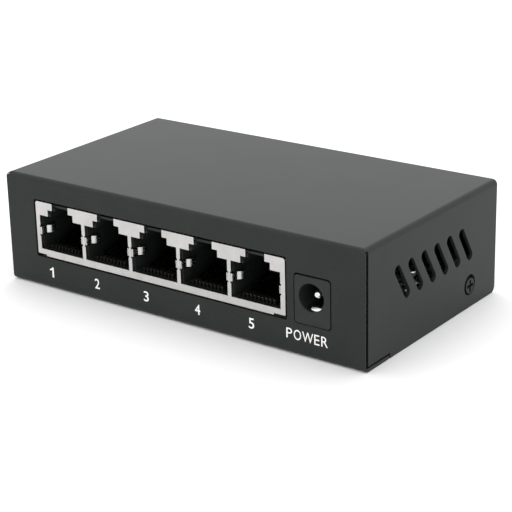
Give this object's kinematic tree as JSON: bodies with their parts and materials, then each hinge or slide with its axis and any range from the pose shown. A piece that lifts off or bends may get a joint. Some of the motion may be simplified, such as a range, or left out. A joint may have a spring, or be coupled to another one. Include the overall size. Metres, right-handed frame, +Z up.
{
  "type": "desktop network switch",
  "caption": "Small flat desktop network switch: folded sheet-metal case, a row of shielded network sockets and a barrel power socket in front, slanted side vents.",
  "frame": {"origin": "middle of the case's width and depth, on the plane it stands on", "axes": "+X to the right along the row of sockets, seen from the front; +Y from the socket panel to the rear; +Z up"},
  "size_m": [0.1, 0.055, 0.027],
  "materials": {
    "case_coat": "fine-textured satin powder coat",
    "shield_nickel": "satin nickel plate",
    "contact_gold": "gold plate",
    "jack_plastic": "moulded, semi-matt",
    "dc_plastic": "moulded, semi-matt",
    "dc_metal": "nickel plate",
    "board_mask": "solder mask",
    "zinc_steel": "zinc plate",
    "chip_epoxy": "matt epoxy",
    "can_aluminium": "drawn aluminium",
    "ferrite": "matt ferrite",
    "ceramic": "matt ceramic with tinned ends",
    "lamp_lens": "clear diffused resin"
  },
  "bodies": {
    "enclosure": {"top_cover": "case_coat", "base_tray": "case_coat", "case_screws": "case_coat", "board_standoffs": "zinc_steel", "board_screws": "zinc_steel", "circuit_board": "board_mask", "jack_shield": "shield_nickel", "jack_housing": "jack_plastic", "jack_pins": "contact_gold", "port_1_insert": "jack_plastic", "port_2_insert": "jack_plastic", "port_3_insert": "jack_plastic", "port_4_insert": "jack_plastic", "port_5_insert": "jack_plastic", "port_1_transformer": "chip_epoxy", "port_2_transformer": "chip_epoxy", "port_3_transformer": "chip_epoxy", "port_4_transformer": "chip_epoxy", "port_5_transformer": "chip_epoxy", "dc_jack_housing": "dc_plastic", "dc_center_pin": "dc_metal", "dc_terminals": "dc_metal", "switch_chip": "chip_epoxy", "config_memory": "chip_epoxy", "clock_crystal": "can_aluminium", "power_inductor": "ferrite", "voltage_regulator": "chip_epoxy", "protection_diode": "chip_epoxy", "input_capacitor": "can_aluminium", "output_capacitor": "can_aluminium", "small_resistors": "ceramic", "status_leds": "lamp_lens"},
    "contacts_1": {"port_1_contacts": "contact_gold"},
    "left_finger_1": {"port_1_left_finger": "shield_nickel"},
    "right_finger_1": {"port_1_right_finger": "shield_nickel"},
    "contacts_2": {"port_2_contacts": "contact_gold"},
    "left_finger_2": {"port_2_left_finger": "shield_nickel"},
    "right_finger_2": {"port_2_right_finger": "shield_nickel"},
    "contacts_3": {"port_3_contacts": "contact_gold"},
    "left_finger_3": {"port_3_left_finger": "shield_nickel"},
    "right_finger_3": {"port_3_right_finger": "shield_nickel"},
    "contacts_4": {"port_4_contacts": "contact_gold"},
    "left_finger_4": {"port_4_left_finger": "shield_nickel"},
    "right_finger_4": {"port_4_right_finger": "shield_nickel"},
    "contacts_5": {"port_5_contacts": "contact_gold"},
    "left_finger_5": {"port_5_left_finger": "shield_nickel"},
    "right_finger_5": {"port_5_right_finger": "shield_nickel"},
    "sleeve_spring": {"dc_sleeve_spring": "dc_metal"}
  },
  "joints": [
    {"name": "contacts_1_press", "type": "hinge", "parent": "enclosure", "child": "contacts_1", "pos_m": [-0.0336, -0.0255, 0.01016], "axis": [-1, 0, 0], "range_deg": [0, 12], "stiffness_Nm_per_rad": 0.17},
    {"name": "left_finger_1_press", "type": "hinge", "parent": "enclosure", "child": "left_finger_1", "pos_m": [-0.03982, -0.027, 0.014], "axis": [0, 0, 1], "range_deg": [0, 15], "stiffness_Nm_per_rad": 0.011},
    {"name": "right_finger_1_press", "type": "hinge", "parent": "enclosure", "child": "right_finger_1", "pos_m": [-0.02738, -0.027, 0.014], "axis": [0, 0, -1], "range_deg": [0, 15], "stiffness_Nm_per_rad": 0.011},
    {"name": "contacts_2_press", "type": "hinge", "parent": "enclosure", "child": "contacts_2", "pos_m": [-0.01963, -0.0255, 0.01016], "axis": [-1, 0, 0], "range_deg": [0, 12], "stiffness_Nm_per_rad": 0.17},
    {"name": "left_finger_2_press", "type": "hinge", "parent": "enclosure", "child": "left_finger_2", "pos_m": [-0.02585, -0.027, 0.014], "axis": [0, 0, 1], "range_deg": [0, 15], "stiffness_Nm_per_rad": 0.011},
    {"name": "right_finger_2_press", "type": "hinge", "parent": "enclosure", "child": "right_finger_2", "pos_m": [-0.01341, -0.027, 0.014], "axis": [0, 0, -1], "range_deg": [0, 15], "stiffness_Nm_per_rad": 0.011},
    {"name": "contacts_3_press", "type": "hinge", "parent": "enclosure", "child": "contacts_3", "pos_m": [-0.00566, -0.0255, 0.01016], "axis": [-1, 0, 0], "range_deg": [0, 12], "stiffness_Nm_per_rad": 0.17},
    {"name": "left_finger_3_press", "type": "hinge", "parent": "enclosure", "child": "left_finger_3", "pos_m": [-0.01188, -0.027, 0.014], "axis": [0, 0, 1], "range_deg": [0, 15], "stiffness_Nm_per_rad": 0.011},
    {"name": "right_finger_3_press", "type": "hinge", "parent": "enclosure", "child": "right_finger_3", "pos_m": [0.00056, -0.027, 0.014], "axis": [0, 0, -1], "range_deg": [0, 15], "stiffness_Nm_per_rad": 0.011},
    {"name": "contacts_4_press", "type": "hinge", "parent": "enclosure", "child": "contacts_4", "pos_m": [0.00831, -0.0255, 0.01016], "axis": [-1, 0, 0], "range_deg": [0, 12], "stiffness_Nm_per_rad": 0.17},
    {"name": "left_finger_4_press", "type": "hinge", "parent": "enclosure", "child": "left_finger_4", "pos_m": [0.00209, -0.027, 0.014], "axis": [0, 0, 1], "range_deg": [0, 15], "stiffness_Nm_per_rad": 0.011},
    {"name": "right_finger_4_press", "type": "hinge", "parent": "enclosure", "child": "right_finger_4", "pos_m": [0.01453, -0.027, 0.014], "axis": [0, 0, -1], "range_deg": [0, 15], "stiffness_Nm_per_rad": 0.011},
    {"name": "contacts_5_press", "type": "hinge", "parent": "enclosure", "child": "contacts_5", "pos_m": [0.02228, -0.0255, 0.01016], "axis": [-1, 0, 0], "range_deg": [0, 12], "stiffness_Nm_per_rad": 0.17},
    {"name": "left_finger_5_press", "type": "hinge", "parent": "enclosure", "child": "left_finger_5", "pos_m": [0.01606, -0.027, 0.014], "axis": [0, 0, 1], "range_deg": [0, 15], "stiffness_Nm_per_rad": 0.011},
    {"name": "right_finger_5_press", "type": "hinge", "parent": "enclosure", "child": "right_finger_5", "pos_m": [0.0285, -0.027, 0.014], "axis": [0, 0, -1], "range_deg": [0, 15], "stiffness_Nm_per_rad": 0.011},
    {"name": "sleeve_spring_press", "type": "hinge", "parent": "enclosure", "child": "sleeve_spring", "pos_m": [0.03658, -0.018, 0.0099], "axis": [1, 0, 0], "range_deg": [0, 4], "stiffness_Nm_per_rad": 0.23}
  ]
}
